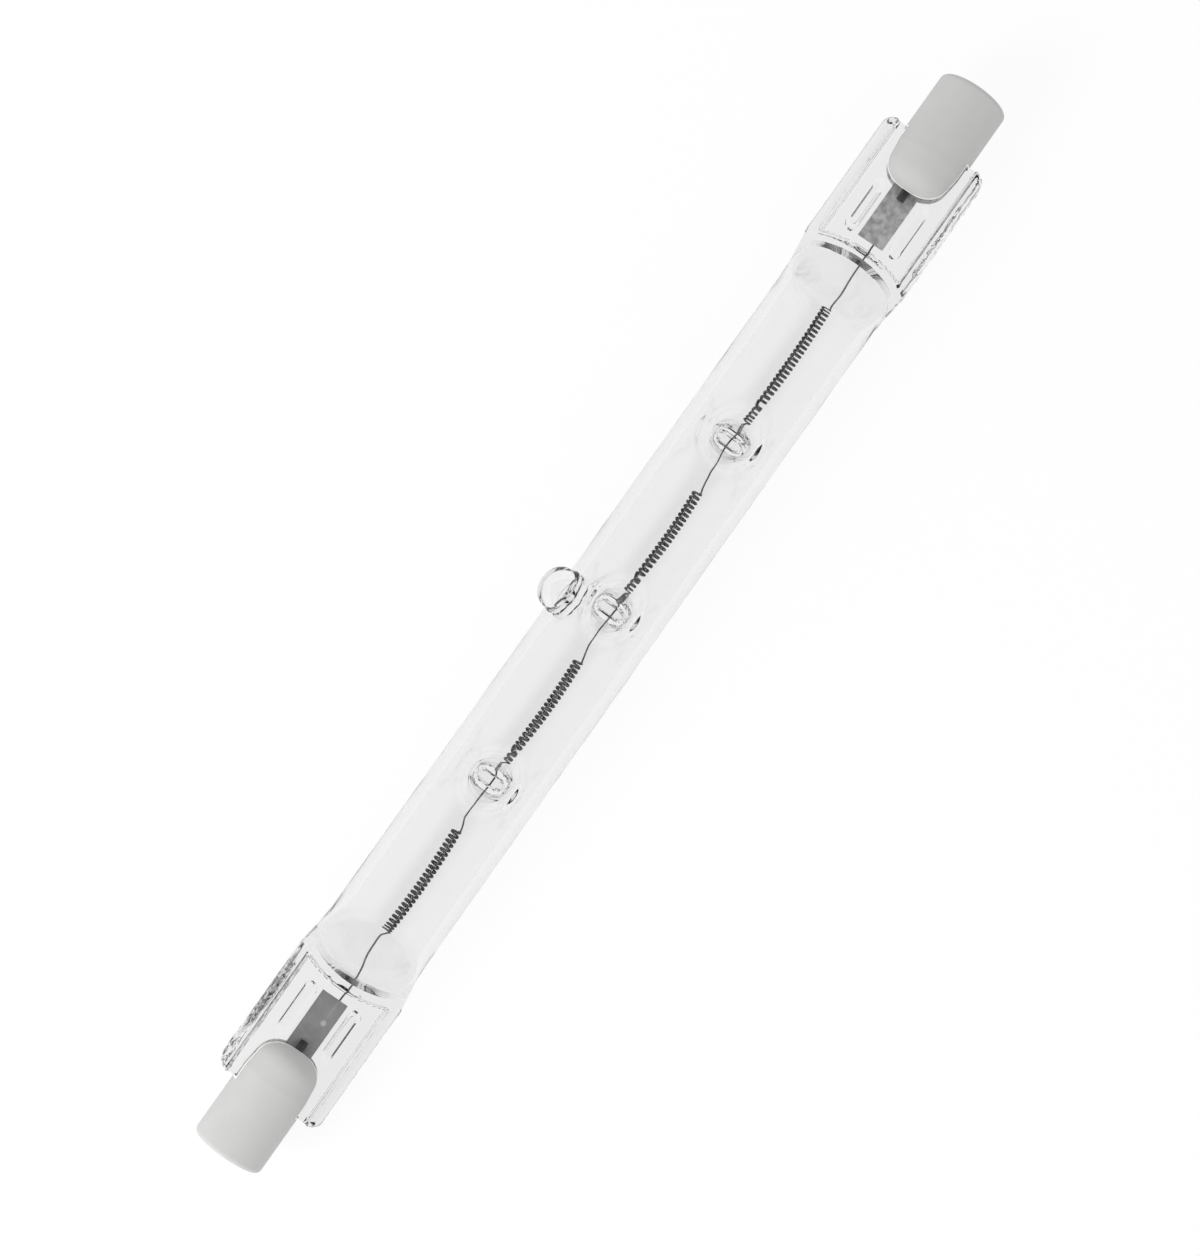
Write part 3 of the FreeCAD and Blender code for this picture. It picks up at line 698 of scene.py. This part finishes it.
class NodeTree:
    def __init__(self, name, geometryIn):
        self.tree = bpy.data.node_groups.new(name, "GeometryNodeTree")
        if geometryIn:
            self.tree.interface.new_socket("Geometry", in_out="INPUT", socket_type="NodeSocketGeometry")
        self.tree.interface.new_socket("Geometry", in_out="OUTPUT", socket_type="NodeSocketGeometry")
        self.inputs = {}
        self.source = None

    def addInput(self, name, kind, value=None):
        socket = self.tree.interface.new_socket(name, in_out="INPUT", socket_type=kind)
        if value is not None:
            socket.default_value = value
        self.inputs[name] = socket.identifier

    def get(self, name):
        if self.source is None:
            self.source = self.tree.nodes.new("NodeGroupInput")
        return self.source.outputs[name]

    def add(self, kind, settings=None, **links):
        node = self.tree.nodes.new(kind)
        for key, value in (settings or {}).items():
            setattr(node, key, value)
        for key, value in links.items():
            socket = node.inputs[int(key[1:])] if key[0] == "i" and key[1:].isdigit() else node.inputs[key]
            if isinstance(value, bpy.types.NodeSocket):
                self.tree.links.new(value, socket)
            else:
                socket.default_value = value
        return node

    def math(self, operation, a, b=0.0):
        return self.add("ShaderNodeMath", {"operation": operation}, i0=a, i1=b).outputs[0]

    def vector(self, x, y, z):
        return self.add("ShaderNodeCombineXYZ", None, X=x, Y=y, Z=z).outputs[0]

    def finish(self, curve, radius, sides):
        ring = self.add("GeometryNodeCurvePrimitiveCircle", None, Resolution=sides, Radius=radius)
        sweep = self.add("GeometryNodeCurveToMesh", None, Curve=curve)
        self.tree.links.new(ring.outputs["Curve"], sweep.inputs["Profile Curve"])
        sweep.inputs["Fill Caps"].default_value = True
        real = self.add("GeometryNodeRealizeInstances", None, Geometry=sweep.outputs["Mesh"])
        material = self.get("Material")
        dressed = self.add("GeometryNodeSetMaterial", None, Geometry=real.outputs[0], Material=material)
        out = self.tree.nodes.new("NodeGroupOutput")
        self.tree.links.new(dressed.outputs[0], out.inputs[0])


def coiledCoilTree():
    # a wire wound in a fine helix, which is itself wound in a wider one along a line
    t = NodeTree("coiledCoil", False)
    for name in ("Start", "End"):
        t.addInput(name, "NodeSocketVector")
    lengths = ("Coil Radius", "Strand Radius", "Wire Radius", "Bow")
    for name in ("Turns", "Strand Turns", "First Angle") + lengths:
        t.addInput(name, "NodeSocketFloat", 1.0)
    t.addInput("Points", "NodeSocketInt", 100)
    t.addInput("Sides", "NodeSocketInt", 5)
    t.addInput("Material", "NodeSocketMaterial")
    line = t.add("GeometryNodeCurvePrimitiveLine", None, Start=t.get("Start"), End=t.get("End"))
    many = t.add("GeometryNodeResampleCurve", None, Curve=line.outputs[0], Count=t.get("Points"))
    share = t.add("GeometryNodeSplineParameter").outputs["Factor"]
    times, plus = (lambda a, b: t.math("MULTIPLY", a, b)), (lambda a, b: t.math("ADD", a, b))
    whole = 2 * math.pi
    turn = plus(times(times(share, t.get("Turns")), whole), t.get("First Angle"))
    spin = times(times(share, t.get("Strand Turns")), whole)
    radial = plus(t.get("Coil Radius"), times(t.get("Strand Radius"), t.math("COSINE", spin)))
    sideways = times(t.get("Strand Radius"), t.math("SINE", spin))
    sag = times(times(share, t.math("SUBTRACT", 1.0, share)), times(t.get("Bow"), 4.0))  # a parabola
    across = plus(times(radial, t.math("COSINE", turn)), sag)
    up = times(radial, t.math("SINE", turn))
    shift = t.vector(sideways, across, up)
    moved = t.add("GeometryNodeSetPosition", None, Geometry=many.outputs[0], Offset=shift)
    t.finish(moved.outputs[0], t.get("Wire Radius"), t.get("Sides"))
    return t


def wirePathTree():
    # a plain round wire along the curve that carries the modifier
    t = NodeTree("wirePath", True)
    t.addInput("Wire Radius", "NodeSocketFloat", 0.0001)
    t.addInput("Sides", "NodeSocketInt", 8)
    t.addInput("Material", "NodeSocketMaterial")
    t.finish(t.get("Geometry"), t.get("Wire Radius"), t.get("Sides"))
    return t


def grown(tree, name, base, values):
    piece = placed(name, base)
    growth = piece.modifiers.new("shape", "NODES")
    growth.node_group = tree.tree
    for key, value in values.items():
        growth[tree.inputs[key]] = value
    return plainMesh(piece, name, tungsten)


def smoothPath(name, points):
    curve = bpy.data.curves.new(name, "CURVE")
    curve.dimensions = "3D"
    spline = curve.splines.new("BEZIER")
    spline.bezier_points.add(len(points) - 1)
    spline.resolution_u = wire["pathSteps"]
    for knot, point in zip(spline.bezier_points, points):
        knot.co = [c * mm for c in point]
        knot.handle_left_type = knot.handle_right_type = "AUTO"
    return curve


def filamentPieces():
    coils, paths = coiledCoilTree(), wirePathTree()
    pieces = []
    radius, strand = wire["coilRadius"], wire["strandRadius"]

    def coil(name, start, end, turns, coilRadius, strandRadius, bow, firstAngle):
        length = math.dist(start, end)
        wound = math.hypot(length, 2 * math.pi * coilRadius * turns)
        strandTurns = round(wound / wire["strandPitch"])
        pieces.append(grown(coils, name, bpy.data.meshes.new(name), {
            "Start": [c * mm for c in start], "End": [c * mm for c in end], "Turns": float(turns),
            "Coil Radius": coilRadius * mm, "Strand Turns": float(strandTurns),
            "Strand Radius": strandRadius * mm, "Wire Radius": wire["strandWire"] * mm, "Bow": bow * mm,
            "First Angle": firstAngle, "Points": strandTurns * wire["pointsPerStrandTurn"] + 1,
            "Sides": wire["sides"], "Material": tungsten,
        }))

    def path(name, points):
        pieces.append(grown(paths, name, smoothPath(name, points), {
            "Wire Radius": wire["linkRadius"] * mm, "Sides": wire["linkSides"], "Material": tungsten,
        }))

    for index, (start, end) in enumerate(wire["runs"]):
        turns = round((end[0] - start[0]) / wire["coilPitch"])
        coil(f"coil{index}", (*start, 0.0), (*end, 0.0), turns, radius, strand, wire["bow"], math.pi)
    for index, (start, end, wide) in enumerate(wire["stubs"]):
        coil(f"stub{index}", (*start, 0.0), (*end, 0.0), 0, 0.0, wide, 0.0, 0.0)
        first = wire["runs"][index + 1][0]
        path(f"hook{index}", [
            (end[0] - wire["hookLap"], end[1], 0.0),
            ((end[0] + first[0]) / 2, (end[1] + first[1] - radius) / 2 + wire["hookRise"], 0.0),
            (first[0] + wire["hookReach"], first[1] - radius, 0.0),
        ])
    for index, points in enumerate(wire["links"]):
        path(f"link{index}", [(*point, 0.0) for point in points])
    for index, points in enumerate(wire["legs"]):
        shares = wire["legShares"]
        path(f"leg{index}", [(*point, wire["legBack"] * share) for point, share in zip(points, shares)])
    return pieces


def joined(pieces, name):
    shape = bmesh.new()
    for piece in pieces:
        shape.from_mesh(piece.data)
        bpy.data.objects.remove(piece, do_unlink=True)
    mesh = bpy.data.meshes.new(name)
    bmesh.ops.recalc_face_normals(shape, faces=shape.faces)
    shape.to_mesh(mesh)
    shape.free()
    smoothed(mesh, wireCrease)
    mesh.materials.append(tungsten)
    return placed(name, mesh)


filament = joined(filamentPieces(), "coiledFilament")
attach(filament, "root")
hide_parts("filament")
print("filament:", triangles(filament), "triangles")


# Stage

studio = {
    "floorHalf": 1.5,
    "floorLevel": -0.005,
    "floorTone": 0.95,
    "floorGlow": 0.9,
    "horizon": 1.0,
    "zenith": 0.25,
    "darkFrom": 0.7,
    "darkTo": 0.95,
    "keyPlace": (-0.25, 0.12, 0.22),
    "keySize": 0.15,
    "keyPower": 0.65,
}


def whiteFloor():
    # glows white for the eye and for the glass, and takes the shadow with the rest
    material = bpy.data.materials.new("whiteFloor")
    material.use_nodes = True
    tree = material.node_tree
    tree.nodes.clear()
    output = tree.nodes.new("ShaderNodeOutputMaterial")
    matt = tree.nodes.new("ShaderNodeBsdfDiffuse")
    tone = studio["floorTone"]
    matt.inputs["Color"].default_value = (tone, tone, tone, 1.0)
    glow = tree.nodes.new("ShaderNodeEmission")
    glow.inputs["Strength"].default_value = 1.0
    path = tree.nodes.new("ShaderNodeLightPath")
    share = path.outputs["Is Camera Ray"]
    for ray in ("Is Glossy Ray", "Is Transmission Ray"):
        either = tree.nodes.new("ShaderNodeMath")
        either.operation = "MAXIMUM"
        tree.links.new(share, either.inputs[0])
        tree.links.new(path.outputs[ray], either.inputs[1])
        share = either.outputs[0]
    part = tree.nodes.new("ShaderNodeMath")
    part.operation = "MULTIPLY"
    part.inputs[1].default_value = studio["floorGlow"]
    mix = tree.nodes.new("ShaderNodeMixShader")
    tree.links.new(share, part.inputs[0])
    tree.links.new(part.outputs[0], mix.inputs[0])
    tree.links.new(matt.outputs[0], mix.inputs[1])
    tree.links.new(glow.outputs[0], mix.inputs[2])
    tree.links.new(mix.outputs[0], output.inputs["Surface"])
    return material


def studioWorld():
    # white all round, with a dark opening overhead where the camera stands
    world = bpy.data.worlds.new("studio")
    bpy.context.scene.world = world
    world.use_nodes = True
    tree = world.node_tree
    place = tree.nodes.new("ShaderNodeTexCoord")
    split = tree.nodes.new("ShaderNodeSeparateXYZ")
    ramp = tree.nodes.new("ShaderNodeValToRGB")
    levels, tones = (studio["darkFrom"], studio["darkTo"]), (studio["horizon"], studio["zenith"])
    for element, level, tone in zip(ramp.color_ramp.elements, levels, tones):
        element.position = level
        element.color = (tone, tone, tone, 1.0)
    tree.links.new(place.outputs["Generated"], split.inputs[0])
    tree.links.new(split.outputs["Z"], ramp.inputs["Fac"])
    tree.links.new(ramp.outputs["Color"], tree.nodes["Background"].inputs["Color"])
    tree.nodes["Background"].inputs["Strength"].default_value = 1.0


def keyLight():
    data = bpy.data.lights.new("keyLamp", "AREA")
    data.shape = "DISK"
    data.size = studio["keySize"]
    data.energy = studio["keyPower"]
    lamp = placed("keyLamp", data)
    lamp.location = studio["keyPlace"]
    lamp.rotation_euler = (-Vector(studio["keyPlace"])).to_track_quat("-Z", "Y").to_euler()
    lamp.visible_glossy = False
    lamp.visible_transmission = False


half, level = studio["floorHalf"], studio["floorLevel"]
corners = [(-half, -half, level), (half, -half, level), (half, half, level), (-half, half, level)]
floor = newPiece("floor", corners, [(0, 1, 2, 3)], whiteFloor())
studioWorld()
keyLight()
print("stage ready")


# Camera

lens = {  # metres and degrees, with the sensor in millimetres
    "distance": 0.245,
    "tilt": 3.1,
    "roll": 35.27,
    "target": (-0.0011, -0.0002, 0.0),
    "frameHeight": 0.1139,
    "sensor": 36.0,
}


def photoCamera():
    data = bpy.data.cameras.new("camera")
    data.sensor_fit = "AUTO"
    data.sensor_width = lens["sensor"]
    data.lens = lens["sensor"] * lens["distance"] / lens["frameHeight"]
    camera = placed("camera", data)
    tilt, roll = math.radians(lens["tilt"]), math.radians(lens["roll"])
    back = Vector((-math.sin(tilt), 0, math.cos(tilt)))
    up = Vector((math.cos(roll), math.sin(roll), 0))
    up = (up - back * up.dot(back)).normalized()
    right = up.cross(back)
    place = Vector(lens["target"]) + back * lens["distance"]
    camera.matrix_world = Matrix.Translation(place) @ Matrix((right, up, back)).transposed().to_4x4()
    bpy.context.scene.camera = camera


photoCamera()
bpy.context.scene.view_settings.view_transform = "Standard"
print("camera ready")
